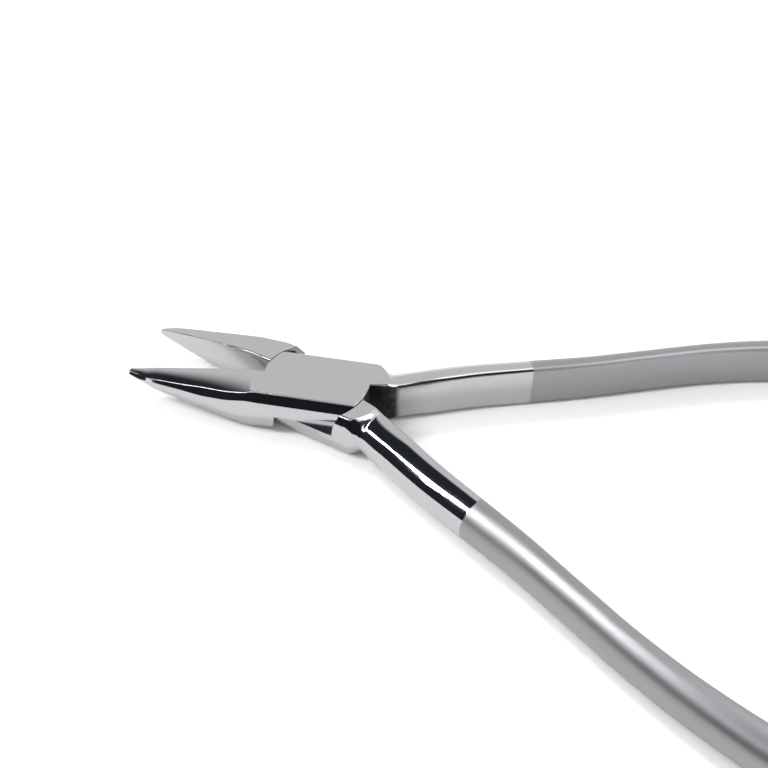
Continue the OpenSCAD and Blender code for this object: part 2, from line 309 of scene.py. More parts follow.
# %% Cross-sections as closed rings
BRIGHT_EDGE = 0.24
EDGE_BLUR = 6.0
WORN_BLUR = 17.0
COLUMNS = (8, 18, 16, 11)


def gathered(start, end, count):
    """count places from start up to just before end, closest together near both."""
    t = (1 - np.cos(np.linspace(0, math.pi, count, endpoint=False))) / 2
    return start[:, None] + (end - start)[:, None] * t[None, :]


def rings(inner, outer, half, square, inner_round, crown=0.0, bevel=1.0, edge=EDGE_BREAK,
          blur=EDGE_BLUR):
    """Closed rings, one row per station: the upper path and its mirror image below, blurred
    by so many steps along the ring, then read where the columns gather at the edges."""
    across, height, edges = half_paths(
        inner, outer, half, square, inner_round, edge, crown, bevel
    )
    upper = across[:, :-1] + 1j * height[:, :-1]
    lower = across[:, :0:-1] - 1j * height[:, :0:-1]
    ring = np.concatenate([upper, lower], axis=1)
    wave = np.fft.fftfreq(ring.shape[1]) * 2 * math.pi
    softened = np.exp(-0.5 * (wave * np.reshape(blur, (-1, 1))) ** 2)
    ring = np.fft.ifft(np.fft.fft(ring, axis=1) * softened, axis=1)
    stops = [0 * edges[0], *edges, 0 * edges[0] + 1]
    places = np.concatenate(
        [gathered(stops[k], stops[k + 1], count) for k, count in enumerate(COLUMNS)]
        + [stops[-1][:, None]],
        axis=1,
    )
    places = np.concatenate([places, 2 - places[:, -2:0:-1]], axis=1) * PATH_SAMPLES
    index = np.arange(ring.shape[1] + 1)
    closed = np.concatenate([ring, ring[:, :1]], axis=1)
    real = np.stack([np.interp(p, index, r.real) for p, r in zip(places, closed)])
    imag = np.stack([np.interp(p, index, r.imag) for p, r in zip(places, closed)])
    return real, imag


print("points in a ring:", rings(0, HALF_WIDTH, MIDDLE, 1, 0)[0].shape[1])

# %% [markdown]
# ## From rings to a mesh
# Rings that follow each other make a skin of quads. One helper turns such a grid into a closed
# mesh; a single point at each end closes it without a visible seam. The sign of the volume
# inside tells whether the faces point outwards.

# %% Grids into closed meshes
def surface(name, points, faces):
    """Object at the origin whose mesh has the points, in metres, and the faces."""
    mesh = bpy.data.meshes.new(name)
    mesh.from_pydata(points, [], faces)
    mesh.validate()
    piece = bpy.data.objects.new(name, mesh)
    bpy.context.scene.collection.objects.link(piece)
    return piece


def volume(mesh):
    """Volume inside a closed mesh: the sum of the tetrahedra from the origin to each triangle."""
    mesh.calc_loop_triangles()
    corners = np.empty(len(mesh.loop_triangles) * 3, dtype=np.int32)
    mesh.loop_triangles.foreach_get("vertices", corners)
    points = np.empty(len(mesh.vertices) * 3)
    mesh.vertices.foreach_get("co", points)
    a, b, c = points.reshape(-1, 3)[corners.reshape(-1, 3)].transpose(1, 0, 2)
    return float(np.sum(a * np.cross(b, c)) / 6)


def solid(name, points, faces):
    """Closed body from points in millimetres, with its faces turned outwards."""
    piece = surface(name, points * MM, faces)
    if volume(piece.data) < 0:
        piece.data.flip_normals()
    return piece


def skin(name, grid):
    """Closed mesh over a grid of points (station, place on the ring, xyz) in millimetres.
    Quads join neighbouring rings, and triangles about the middle close the first and last."""
    stations, around = grid.shape[:2]
    ends = np.stack([grid[0].mean(axis=0), grid[-1].mean(axis=0)])
    points = np.concatenate([grid.reshape(-1, 3), ends])
    i = np.arange(around)
    j = (i + 1) % around
    base = (np.arange(stations - 1) * around)[:, None]
    quads = np.stack([base + i, base + around + i, base + around + j, base + j], axis=-1)
    first, last = len(points) - 2, len(points) - 1
    top = (stations - 1) * around
    fans = np.concatenate([
        np.stack([i, j, 0 * i + first], axis=1),
        np.stack([top + j, top + i, 0 * i + last], axis=1),
    ])
    return solid(name, points, quads.reshape(-1, 4).tolist() + fans.tolist())


print("grids are in millimetres, meshes in metres: one unit of a grid is", MM)

# %% [markdown]
# ## The beak side
# The beak and its side of the joint block are one loft along X, whose inner face lies on the
# middle line. Its stations crowd towards the tip, where the beak is finest, and the first few
# close it with a quarter circle. The block's own section then runs on under the other lap.

# %% Loft of the beak side
TIP_ROUND = 0.3
TIP_ROWS = 10
BEAK_ROWS = 118
BEAK_CROWDING = 1.25
BLOCK_ROWS = 24
LEAST_END = 0.03


def rounded_end(distance, length):
    """Share of the full section near an end: a quarter circle over the given length."""
    rest = 1 - np.clip(distance / length, 0, 1)
    return np.sqrt(np.clip(1 - rest ** 2, LEAST_END ** 2, 1))


def closed_up(across, height, keep):
    """Each ring shrunk towards its own middle by its share of the full section."""
    middle = (across.max(axis=1) + across.min(axis=1))[:, None] / 2
    return middle + (across - middle) * keep[:, None], height * keep[:, None]


def beak_side(name, table, tip_width, tip_thick, edge):
    """Rings across X, outwards to minus Y. Width and thickness go from the tip's own to the
    block's by the shares of the table, and the other shares shape the section."""
    tip = TIP_ROUND / BEAK_LENGTH
    u = np.concatenate([
        tip * (1 - np.cos(np.linspace(0, math.pi / 2, TIP_ROWS, endpoint=False))),
        tip + (1 - tip) * np.linspace(0, 1, BEAK_ROWS) ** BEAK_CROWDING,
    ])
    width = mix(tip_width, HALF_WIDTH - HALF_GAP, through(table, u, 1))
    across, height = rings(
        HALF_GAP, HALF_GAP + width,
        mix(tip_thick / 2, MIDDLE + GRINDING, through(table, u, 2)),
        *[through(table, u, column) for column in (3, 4, 5, 6)], edge,
    )
    across, height = closed_up(across, height, rounded_end(u * BEAK_LENGTH, TIP_ROUND))
    block = rings(-LAP_OVER, HALF_WIDTH, MIDDLE + GRINDING, 1, 0)
    block_end = TAIL_LAP_RADIUS + STEP_GAP + OVERRUN
    along = np.concatenate([
        u * BEAK_LENGTH - BEAK_REACH,
        [LAP_OVER - BEAK_LAP_RADIUS],
        np.linspace(2 * LAP_OVER - BEAK_LAP_RADIUS, block_end, BLOCK_ROWS),
    ])
    across = np.concatenate([across, np.repeat(block[0], BLOCK_ROWS + 1, axis=0)])
    height = np.concatenate([height, np.repeat(block[1], BLOCK_ROWS + 1, axis=0)])
    grid = np.stack([along[:, None] + 0 * across, -across, MIDDLE + height], axis=-1)
    return skin(name, grid)


print("stations on a beak:", TIP_ROWS + BEAK_ROWS, "and on its block:", BLOCK_ROWS + 1)

# %% [markdown]
# ## The handle side
# A handle is forged straight and then bent, so its sections stand across its curved line. The
# loft does the same: each ring is turned square to the line of the inner face. Behind the
# joint the bevelled block becomes a half round neck, and its bevel is worn soft on the way.

# %% Loft of the handle side
CORNER_START = 9.2
CORNER_EARLY = 0.1
WORN_FADE = 2.0
END_ROUND = 3.4
NECK_ROUND_SHARE = 0.22
PALM_ROUND_SHARE = 0.3
SLIM_SHARE = 0.43
PALM_SHARE = 0.78
SLIM_STRETCH_END = 34
HANDLE_ROWS = {"block": 30, "lap": 10, "neck": 80, "slim": 120, "palm": 96, "end": 22}


def line_share(x):
    """How far along the handle x lies, from the crotch (0) to the end (1)."""
    return np.clip((x - TAIL_LAP_RADIUS) / HANDLE_LENGTH, 0, 1)


def line_y(x):
    """The inner face of the handle in plan, as its distance from the middle line."""
    return HALF_GAP + HANDLE_SPREAD * through(HANDLE_LINE_SHARES, line_share(x), 1)


def handle_width(x):
    """Width of the handle: an S-curve from the neck to the slim stretch, one on to the palm."""
    u = line_share(x)
    slim = mix(NECK_WIDTH, SLIM_WIDTH, ease(u / SLIM_SHARE))
    palm = mix(SLIM_WIDTH, PALM_WIDTH, ease((u - SLIM_SHARE) / (PALM_SHARE - SLIM_SHARE)))
    return np.where(u < SLIM_SHARE, slim, palm)


def handle_stations():
    """Places of the rings along X: even steps in each stretch, and at the end the sine of an
    even angle, so that they crowd where the end rounds off."""
    stops = [-BEAK_LAP_RADIUS - STEP_GAP - OVERRUN, TAIL_LAP_RADIUS - 2 * LAP_OVER, NECK_START,
             NECK_START + NECK_BLEND, SLIM_STRETCH_END, HANDLE_REACH - END_ROUND]
    *rows, end_rows = HANDLE_ROWS.values()
    angle = np.linspace(0, math.pi / 2, end_rows)
    even = [np.linspace(a, b, count, endpoint=False)
            for a, b, count in zip(stops, stops[1:], rows)]
    return np.concatenate([*even, HANDLE_REACH - END_ROUND * (1 - np.sin(angle))])


def handle_side(name):
    """Rings square to the handle's line, outwards to plus Y. S-curves take the block's width,
    height and corner to the neck's, and then the neck's height to the handle's."""
    x = handle_stations()
    neck_end = NECK_START + NECK_BLEND
    draw_back = TAIL_LAP_RADIUS - 2 * LAP_OVER
    t = ease((x - NECK_START) / NECK_BLEND)
    rounding = ease((x - CORNER_START) / (neck_end - CORNER_EARLY - CORNER_START))
    swell = ease((x - neck_end) / NECK_SWELL)
    palm = ease((line_share(x) - SLIM_SHARE / 2) / SLIM_SHARE)
    across, height = rings(
        -LAP_OVER * (1 - ease((x - draw_back) / (2 * LAP_OVER))),
        mix(HALF_WIDTH, handle_width(x), t),
        mix(MIDDLE + GRINDING + HANDLE_RISE, mix(NECK_THICK / 2, HANDLE_HALF, swell), t),
        1 - rounding,
        mix(NECK_ROUND_SHARE * t, PALM_ROUND_SHARE, palm),
        blur=mix(WORN_BLUR, EDGE_BLUR, ease((x - CORNER_START) / WORN_FADE)),
    )
    across, height = closed_up(across, height, rounded_end(HANDLE_REACH - x, END_ROUND))
    turn = np.arctan2(line_y(x + OVERRUN) - line_y(x - OVERRUN), 2 * OVERRUN)[:, None]
    grid = np.stack([
        x[:, None] - across * np.sin(turn),
        line_y(x)[:, None] + across * np.cos(turn),
        MIDDLE + height,
    ], axis=-1)
    return skin(name, grid)


print("stations on a handle:", len(handle_stations()), "over", list(HANDLE_ROWS))

# %% [markdown]
# ## Cutters for the lap joint
# The joint is turned and milled, so its cutters are bodies of revolution about the pivot: two
# arcs that end the laps, the pocket in which the other lap swings, and the bores of the screw.
# Each cutter flares a little where it breaks through a face, which leaves a broken edge.

# %% Cutters as bodies of revolution
EDGE_FLARE = 0.07
FLARE_PAST = 0.012
CUTTER_SIDES = 220
FULL_TURN = 2 * math.pi


def revolved(name, profile, start=0.0, sweep=FULL_TURN):
    """Closed body swept by a closed profile of (radius, height) about the pivot axis.
    A full turn closes on itself; a part turn is closed by its two end faces."""
    profile = np.array(profile, dtype=float)
    full = sweep == FULL_TURN
    angle = start + sweep * np.arange(CUTTER_SIDES + (0 if full else 1)) / CUTTER_SIDES
    grid = np.stack([
        profile[None, :, 0] * np.cos(angle)[:, None],
        profile[None, :, 0] * np.sin(angle)[:, None],
        profile[None, :, 1] + 0 * angle[:, None],
    ], axis=-1)
    count, around = grid.shape[:2]
    i = np.arange(around)
    j = (i + 1) % around
    turns = np.arange(count if full else count - 1)
    base, after = (turns * around)[:, None], (((turns + 1) % count) * around)[:, None]
    quads = np.stack([base + i, after + i, after + j, base + j], axis=-1).reshape(-1, 4)
    last = around * (count - 1)
    caps = [] if full else [i.tolist(), (last + i[::-1]).tolist()]
    return solid(name, grid.reshape(-1, 3), quads.tolist() + caps)


def flare(radius, height, way, steps=6):
    """Quarter round at the rim of a cut: from the wall out to the face that it breaks, and a
    hair past it, so that no corner of the cutter lies in that face."""
    angle = np.linspace(0, math.pi / 2, steps)
    return np.stack([
        radius - way * EDGE_FLARE * (1 - np.cos(angle)),
        height + FLARE_PAST + EDGE_FLARE * (np.sin(angle) - 1),
    ], axis=1).tolist()


def arc_cutter(name, radius, way):
    """What lies outside a lap's arc, towards the beaks (way -1) or the handles (way 1)."""
    reach = TAIL_LAP_RADIUS + HALF_WIDTH
    top = JOINT_THICK + OVERRUN
    profile = [[radius, -OVERRUN]] + flare(radius, JOINT_THICK, 1)
    profile += [[radius - EDGE_FLARE, top], [reach, top], [reach, -OVERRUN]]
    return revolved(name, profile, -way * math.pi / 2, math.pi)


def pocket_cutter(name, radius, sweep):
    """Round room under the lap, up to the lap face, with its rim broken at the underside."""
    rim = [[r, JOINT_THICK - z] for r, z in flare(radius, JOINT_THICK, -1)][::-1]
    profile = [[0.0, -OVERRUN], [radius + EDGE_FLARE, -OVERRUN]] + rim
    profile += [[radius, LAP_FACE], [0.0, LAP_FACE]]
    return revolved(name, profile, -math.pi / 2, sweep)


print("a broken edge is", EDGE_FLARE, "mm wide; a cutter has", CUTTER_SIDES, "sides")

# %% [markdown]
# ## Milling
# Exact Boolean cuts do what the milling cutter does. They are applied at once, so the mesh is
# finished here and no live modifier depends on a cutter. The cutters are then thrown away.

# %% Boolean cuts, applied at once
def combined(piece, others, way):
    """piece with the other bodies cut from it (DIFFERENCE) or joined to it (UNION)."""
    for other in others:
        step = piece.modifiers.new("cut", "BOOLEAN")
        step.operation = way
        step.solver = "EXACT"
        step.object = other
    bpy.context.view_layer.update()
    graph = bpy.context.evaluated_depsgraph_get()
    made = bpy.data.meshes.new_from_object(piece.evaluated_get(graph))
    piece.modifiers.clear()
    old = piece.data
    piece.data = made
    bpy.data.meshes.remove(old)
    for other in others:
        data = other.data
        bpy.data.objects.remove(other)
        bpy.data.meshes.remove(data)
    print(piece.name, "after", way.lower(), "has", len(made.polygons), "faces")
    return piece


# %% [markdown]
# ## A whole half
# Beak side and handle side are cut to their arcs and joined, and the pocket is milled out. Then
# the half is bored for its end of the screw, turned over if it is the lower one, and turned
# about the pivot to where it lies in the opened pliers. Last comes the shading: smooth over
# the forged forms, sharp at the ground edges, and flat where a large face is flat.

# %% Build one half in its own frame
SHARP_EDGE = math.radians(52)
ZERO_LENGTH = 2e-7
FLAT_WEIGHT = 50


def forged_half(name, table, tip_width, tip_thick, edge):
    """The half with its lap on top, before it is bored."""
    beak = combined(
        beak_side(name, table, tip_width, tip_thick, edge),
        [arc_cutter("tail_arc", TAIL_LAP_RADIUS, 1)], "DIFFERENCE",
    )
    handle = combined(
        handle_side(name + "_handle"),
        [arc_cutter("beak_arc", BEAK_LAP_RADIUS, -1)], "DIFFERENCE",
    )
    whole = combined(beak, [handle], "UNION")
    return combined(whole, [
        pocket_cutter("round_pocket", BEAK_LAP_RADIUS + STEP_GAP, FULL_TURN),
        pocket_cutter("tail_pocket", TAIL_LAP_RADIUS + STEP_GAP, math.pi),
    ], "DIFFERENCE")


def laid(piece, turned_over, angle):
    """The mesh moved from the half's own frame to where it lies; the object stays put."""
    place = Matrix.Rotation(angle, 4, "Z")
    if turned_over:
        lifted = Matrix.Translation((0, 0, JOINT_THICK * MM))
        place = place @ lifted @ Matrix.Rotation(math.pi, 4, "X")
    piece.data.transform(place)
    return piece


def finished(piece, sharp=SHARP_EDGE):
    """Points of zero-length edges merged, then smooth shading except across edges sharper than
    the angle, with the large flat faces keeping their own direction."""
    work = bmesh.new()
    work.from_mesh(piece.data)
    bmesh.ops.dissolve_degenerate(work, dist=ZERO_LENGTH, edges=work.edges)
    work.to_mesh(piece.data)
    work.free()
    piece.data.shade_smooth()
    piece.data.set_sharp_from_angle(angle=sharp)
    flats = piece.modifiers.new("flats", "WEIGHTED_NORMAL")
    flats.mode = "FACE_AREA"
    flats.weight = FLAT_WEIGHT
    flats.keep_sharp = True
    inside = volume(piece.data) / MM**3
    print(piece.name, "faces", len(piece.data.polygons), "points", len(piece.data.vertices),
          "triangles", len(piece.data.loop_triangles), "volume mm3", round(inside, 1))
    return piece


print("edges sharper than", round(math.degrees(SHARP_EDGE)), "degrees stay sharp")

# %% [markdown]
# ## The half with the round beak
# Its lap is the upper one. The screw ends in it, in a blind tapped hole, so its cheek stays
# one clean ground face. The hole is bored from the lap face, a little deeper than the thread.

# %% The upper half
SHOULDER = 4.0
THREAD = 2.8
THREAD_LENGTH = 2.1
THREAD_END_GAP = 0.15
ROUND_TIP = {"tip_width": 1.0, "tip_thick": 0.8, "edge": EDGE_BREAK}

round_half = forged_half("round_beak_skin", ROUND_BEAK_SHARES, **ROUND_TIP)
hole_end = LAP_FACE + THREAD_LENGTH + THREAD_END_GAP
hole = [[0, LAP_FACE - OVERRUN], [THREAD / 2, LAP_FACE - OVERRUN],
        [THREAD / 2, hole_end], [0, hole_end]]
round_half = combined(round_half, [revolved("tapped_hole", hole)], "DIFFERENCE")
round_half = finished(laid(round_half, False, REST_OPENING / 2))

# %% [markdown]
# ## The half with the square beak
# Its lap is the lower one. The screw comes up through it, so it has a bore for the shoulder
# and a counterbore in which the head disappears. A small chamfer leads from one to the other.

# %% The lower half
SHOULDER_GAP = 0.03
HEAD = 6.0
HEAD_GAP = 0.05
HEAD_HEIGHT = 1.2
HEAD_RECESS = 0.1
BORE_CHAMFER = 0.16
SQUARE_TIP = {"tip_width": 0.5, "tip_thick": 0.56, "edge": BRIGHT_EDGE}

square_half = forged_half("square_beak_skin", SQUARE_BEAK_SHARES, **SQUARE_TIP)
seat = JOINT_THICK - (HEAD_RECESS + HEAD_HEIGHT + FACE_GAP)
bore, sink = SHOULDER / 2 + SHOULDER_GAP, HEAD / 2 + HEAD_GAP
stepped = [[0, LAP_FACE - OVERRUN], [bore, LAP_FACE - OVERRUN],
           [bore, seat - BORE_CHAMFER], [bore + BORE_CHAMFER, seat],
           [sink, seat], *flare(sink, JOINT_THICK, -1),
           [sink + EDGE_FLARE, JOINT_THICK + OVERRUN], [0, JOINT_THICK + OVERRUN]]
square_half = combined(square_half, [revolved("screw_bore", stepped)], "DIFFERENCE")
square_half = finished(laid(square_half, True, -REST_OPENING / 2))

# %% [markdown]
# ## The body of the pivot screw
# The screw is turned from one bar: a head in its counterbore, a ground shoulder on which the
# lower half turns, and a thread that holds in the upper half. A thread is a profile whose
# radius follows the angle around the axis as well as the height, so it is one grid.

# %% The screw, turned and threaded
HEAD_RINGS = (0.02, 1.2, HEAD / 2 - 0.62)
HEAD_CHAMFER = 0.12
HEAD_BREAK = 0.04
HEAD_FILLET = 0.1
SHOULDER_BREAK = 0.06
SEAT_GAP = 0.004
PITCH = 0.35
THREAD_DEPTH = 0.2
THREAD_PLAY = 0.01
THREAD_INSET = 0.02
THREAD_RUN_IN = 0.3
THREAD_ROWS = 84
SCREW_SIDES = 96


def screw_body(name):
    """Grid of height rows by angle: rings of head and shoulder, then the thread, whose radius
    is the outer one less a triangle wave of height over pitch plus angle over a full turn."""
    head, shoulder = HEAD / 2, SHOULDER / 2
    head_top = HEAD_RECESS + HEAD_HEIGHT
    part = HEAD_CHAMFER * 0.3
    angle = np.linspace(0, FULL_TURN, SCREW_SIDES, endpoint=False)[None, :]
    plain = np.array([
        *[[radius, HEAD_RECESS] for radius in HEAD_RINGS],
        [head - HEAD_CHAMFER, HEAD_RECESS], [head - part, HEAD_RECESS + part],
        [head, HEAD_RECESS + HEAD_CHAMFER], [head, head_top - HEAD_BREAK],
        [head - HEAD_BREAK, head_top], [shoulder + HEAD_FILLET, head_top],
        [shoulder, head_top + HEAD_FILLET], [shoulder, LAP_FACE - SHOULDER_BREAK],
        [shoulder - SHOULDER_BREAK, LAP_FACE - SEAT_GAP],
        [THREAD / 2 - THREAD_DEPTH, LAP_FACE - SEAT_GAP],
    ])
    end = LAP_FACE + THREAD_LENGTH
    rise = np.linspace(LAP_FACE + THREAD_INSET, end - THREAD_INSET, THREAD_ROWS)[:, None]
    wave = np.abs(((rise / PITCH + angle / FULL_TURN) % 1) * 2 - 1)
    fade = ease((rise - LAP_FACE) / THREAD_RUN_IN) * ease((end - rise) / PITCH)
    radius = THREAD / 2 - THREAD_PLAY - THREAD_DEPTH * (1 - wave * fade)
    radius = np.concatenate([plain[:, :1] + 0 * angle, radius])
    height = np.concatenate([plain[:, 1:] + 0 * angle, rise + 0 * angle])
    grid = np.stack([radius * np.cos(angle), radius * np.sin(angle), height], axis=-1)
    return skin(name, grid)


print("turns of the thread:", round(THREAD_LENGTH / PITCH, 1))

# %% [markdown]
# ## The slot of the screw
# A screwdriver drives the screw from below. Its slot is milled across the head with a cutter
# that has rounded corners, so a rounded U profile is carried along a straight line.

# %% Slot, and the finished screw
SLOT_WIDTH = 0.8
SLOT_DEPTH = 0.6
SLOT_ROUND = 0.06
SCREW_TURN = math.radians(34)
SCREW_SHARP_EDGE = math.radians(30)


def slot_cutter(name):
    """Straight groove across the head: a rounded U profile carried along the slot."""
    half, deep = SLOT_WIDTH / 2, -SLOT_DEPTH - OVERRUN
    bend = np.linspace(0, math.pi / 2, 5)
    out, down = half - SLOT_ROUND * (1 - np.sin(bend)), SLOT_ROUND * (np.cos(bend) - 1)
    path = np.concatenate([
        np.stack([-out[::-1], down[::-1]], axis=1), np.stack([out, down], axis=1),
        [[half, deep], [-half, deep]],
    ])
    along = np.linspace(-HEAD, HEAD, 9)[:, None]
    grid = np.stack(np.broadcast_arrays(
        along, path[None, :, 0], HEAD_RECESS + SLOT_DEPTH + path[None, :, 1]
    ), axis=-1)
    return skin(name, grid)


pivot_screw = combined(screw_body("pivot_screw_skin"), [slot_cutter("slot")], "DIFFERENCE")
pivot_screw = finished(laid(pivot_screw, False, SCREW_TURN), SCREW_SHARP_EDGE)

# %% [markdown]
# ## The frame's bodies carry the new pieces
# Each new piece stands for its CAD node and moves with the same body, so the pliers open and
# close just as the CAD model does.

# %% Ride on the frame's bodies and replace its nodes
for piece, node, body, slot in (
    (round_half, "round_beak_half", "upper_half", "half_steel"),
    (square_half, "square_beak_half", "lower_half", "half_steel"),
    (pivot_screw, "pivot_screw", "upper_half", "screw_steel"),
):
    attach(piece, body)
    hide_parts(node)
    print(piece.name, "rides on", body, "for", node)

# %% [markdown]
# ## Building materials from nodes
# A material is a small network: coordinates and noise make numbers, and numbers steer the
# shader. A few helpers keep each of those steps on one line, in plain words.

# %% Node helpers
NOISE_RANGE = (0.3, 0.7)


def node_tree(name):
    """A new material with an empty node tree and its output node."""
    material = bpy.data.materials.new(name)
    material.use_nodes = True
    tree = material.node_tree
    tree.nodes.clear()
    return material, tree, tree.nodes.new("ShaderNodeOutputMaterial")


def add(tree, kind, inputs=(), **settings):
    """One node with its settings, whose inputs are values or the sockets that feed them."""
    node = tree.nodes.new("ShaderNode" + kind)
    for key, value in settings.items():
        setattr(node, key, value)
    for key, value in dict(inputs).items():
        if isinstance(value, bpy.types.NodeSocket):
            tree.links.new(value, node.inputs[key])
        else:
            node.inputs[key].default_value = value
    return node


def maths(tree, operation, *values, clamp=False):
    """The result of one Math node on values or sockets."""
    node = add(tree, "Math", dict(enumerate(values)), operation=operation)
    node.use_clamp = clamp
    return node.outputs[0]


def ramp(tree, value, low, high, start=0.0, end=1.0):
    """value mapped smoothly from the range low to high onto start to end."""
    return add(tree, "MapRange", {
        "Value": value, "From Min": low, "From Max": high, "To Min": start, "To Max": end,
    }, interpolation_type="SMOOTHSTEP").outputs["Result"]


def noise(tree, place, cells, detail=3.0, roughness=0.5):
    """Grey noise at so many cells per metre."""
    return add(tree, "TexNoise", {
        "Vector": place, "Scale": cells, "Detail": detail, "Roughness": roughness,
    }).outputs["Fac"]


def between(tree, share, first, second):
    """The number that goes from first to second as share goes from 0 to 1."""
    return add(tree, "Mix", {0: share, 2: first, 3: second}).outputs[0]


def tinted(tree, share, first, second):
    """The colour that goes from first to second as share goes from 0 to 1."""
    return add(tree, "Mix", {0: share, 6: first, 7: second}, data_type="RGBA").outputs[2]


def mapped(tree, place, turn=(0, 0, 0), scale=(1, 1, 1)):
    """The place turned and scaled by a Mapping node."""
    inputs = {"Vector": place, "Rotation": turn, "Scale": scale}
    return add(tree, "Mapping", inputs).outputs[0]


def axes(tree, place):
    """The three numbers of a place or a direction."""
    return add(tree, "SeparateXYZ", {"Vector": place}).outputs


print("the part of a noise that is used runs from", *NOISE_RANGE)

# %% [markdown]
# ## Where each finish lies
# One steel, two finishes and a painted shade. The beaks, the joint and the necks are buffed to a
# mirror. Fine beads blast the handles to satin, behind a sharp line that the masking leaves
# slightly ragged. The upright walls of the crotch are painted near black and rough, a painted
# shade for the dark that falls between the halves there. Each finish and the painted shade are
# placed by distances in the half's own frame, read from Object coordinates.

# %% Masks for the satin handles and for the painted shade in the crotch
SATIN_LINE = 31.2
SATIN_EDGE = (-0.02, 0.1)
RAGGED = 0.12
RAGGED_CELLS = 1800
CROTCH_START = 8.3
CROTCH_END = 12.3
CROTCH_FADE = 0.5
CROTCH_SIDE = (2.0, 1.6)
WALL_UPRIGHT = (0.7, 0.5)
BLOTCH_CELLS = 900
BLOTCHES = (0.9, 1.0)


def satin_share(tree, along):
    """1 on the handle behind the satin line and 0 before it, with a noise added to the
    distance along the handle."""
    rag = noise(tree, along, RAGGED_CELLS, detail=2)
    reach = maths(tree, "ADD", axes(tree, along)[0], maths(tree, "MULTIPLY", rag, RAGGED * MM))
    return ramp(tree, reach, *[(SATIN_LINE + step) * MM for step in SATIN_EDGE])


# Mask of the painted shade: the upright walls of the crotch are painted near black, where shade
# falls between the halves.
def crotch_shade_share(tree, place, turned_over, angle):
    """1 in the crotch and 0 elsewhere: the product of being on an upright wall, on the inner
    side, behind the start and before the end, and of a noise that leaves blotches."""
    own = axes(tree, mapped(tree, place, turn=(0, 0, -angle)))
    upright = axes(tree, add(tree, "NewGeometry").outputs["Normal"])[2]
    side = maths(tree, "MULTIPLY", own[1], -1.0 if turned_over else 1.0)
    wall = ramp(tree, maths(tree, "ABSOLUTE", upright), *WALL_UPRIGHT)
    inside = ramp(tree, side, *[across * MM for across in CROTCH_SIDE])
    begins = ramp(tree, own[0], (CROTCH_START - CROTCH_FADE) * MM, CROTCH_START * MM)
    ends = ramp(tree, own[0], (CROTCH_END + CROTCH_FADE) * MM, (CROTCH_END - CROTCH_FADE) * MM)
    scale = maths(tree, "MULTIPLY", maths(tree, "MULTIPLY", wall, inside),
                  maths(tree, "MULTIPLY", begins, ends))
    blotched = ramp(tree, noise(tree, place, BLOTCH_CELLS, detail=4), *NOISE_RANGE, *BLOTCHES)
    return maths(tree, "MULTIPLY", scale, blotched)


# Here scale means the painted shade on the crotch walls.
print("satin begins", SATIN_LINE, "mm along the handle; scale lies from",
      CROTCH_START, "to", CROTCH_END, "mm")

# %% [markdown]
# ## Steel of the halves
# Buffing leaves a mirror with a faint, uneven haze and hair-fine lines along the forging. Beads
# leave a roughness that differs a little from patch to patch, and tiny dimples. So haze,
# patches, lines and dimples are four noises at their real sizes, and the masks choose.

# %% Polished and satin steel
STEEL = (0.47, 0.47, 0.478, 1)
# The satin colour is darker than the polished steel, partly for the blasted surface and partly as
# painted shade for the dimmer light that the rough steel gathers.
SATIN_TONE_AND_SHADE = (0.325, 0.325, 0.333, 1)
# The crotch colour below, and its roughness further down, are a near black painted shade for the
# crotch walls, not a colour of the steel.
CROTCH_SHADE_COLOUR = (0.035, 0.034, 0.038, 1)
HANDLE_SLOPE = math.radians(19.3)
HAZE_CELLS, HAZE_RANGE, POLISH_ROUGHNESS = 160, (0.3, 0.75), (0.045, 0.085)
PATCH_CELLS, SATIN_ROUGHNESS = 90, (0.39, 0.44)
CROTCH_SHADE_ROUGHNESS = 0.5
BRUSH_CELLS, BRUSH_STRETCH, BRUSH_SHARE = 260, (1, 14, 14), 0.12
BEAD_CELLS = 7000
BUMP_DISTANCE = 0.02 * MM
HALF_BUMP = 0.25


def bare_metal(tree, output, colour, rough, grain, strength):
    """Bare metal whose grain stands up by a Bump node, joined to the material's output."""
    bump = add(tree, "Bump", {"Height": grain, "Strength": strength, "Distance": BUMP_DISTANCE})
    shader = add(tree, "BsdfPrincipled", {
        "Base Color": colour, "Metallic": 1.0, "Roughness": rough, "Normal": bump.outputs[0],
    })
    tree.links.new(shader.outputs[0], output.inputs["Surface"])


def half_steel(name, turned_over, angle):
    """Steel of one half: mirror polish up to the satin line along the handle, beads beyond,
    and a near black painted shade in the crotch. Masks mix the roughness, the tint and the height
    of the grain."""
    material, tree, output = node_tree(name)
    place = add(tree, "TexCoord").outputs["Object"]
    slope = angle + (-HANDLE_SLOPE if turned_over else HANDLE_SLOPE)
    along = mapped(tree, place, turn=(0, 0, -slope))
    satin = satin_share(tree, along)
    # Here scale is the mask of the painted shade on the crotch walls.
    scale = crotch_shade_share(tree, place, turned_over, angle)

    haze = noise(tree, place, HAZE_CELLS, detail=4)
    haze = ramp(tree, haze, *HAZE_RANGE, *POLISH_ROUGHNESS)
    patches = noise(tree, along, PATCH_CELLS, detail=3)
    patches = ramp(tree, patches, *NOISE_RANGE, *SATIN_ROUGHNESS)
    # In the crotch the painted shade sets a near black tint and a higher roughness.
    rough = between(tree, scale, between(tree, satin, haze, patches), CROTCH_SHADE_ROUGHNESS)
    # Behind the satin line the tint is the darker satin colour, which is partly painted shade.
    tint = tinted(tree, scale, tinted(tree, satin, STEEL, SATIN_TONE_AND_SHADE), CROTCH_SHADE_COLOUR)

    streak = mapped(tree, along, scale=BRUSH_STRETCH)
    brushed = noise(tree, streak, BRUSH_CELLS, detail=5, roughness=0.6)
    beads = noise(tree, place, BEAD_CELLS, detail=3, roughness=0.6)
    fine = maths(tree, "MULTIPLY", brushed, BRUSH_SHARE)
    grain = between(tree, satin, fine, maths(tree, "ADD", beads, brushed))
    bare_metal(tree, output, tint, rough, grain, HALF_BUMP)
    return material


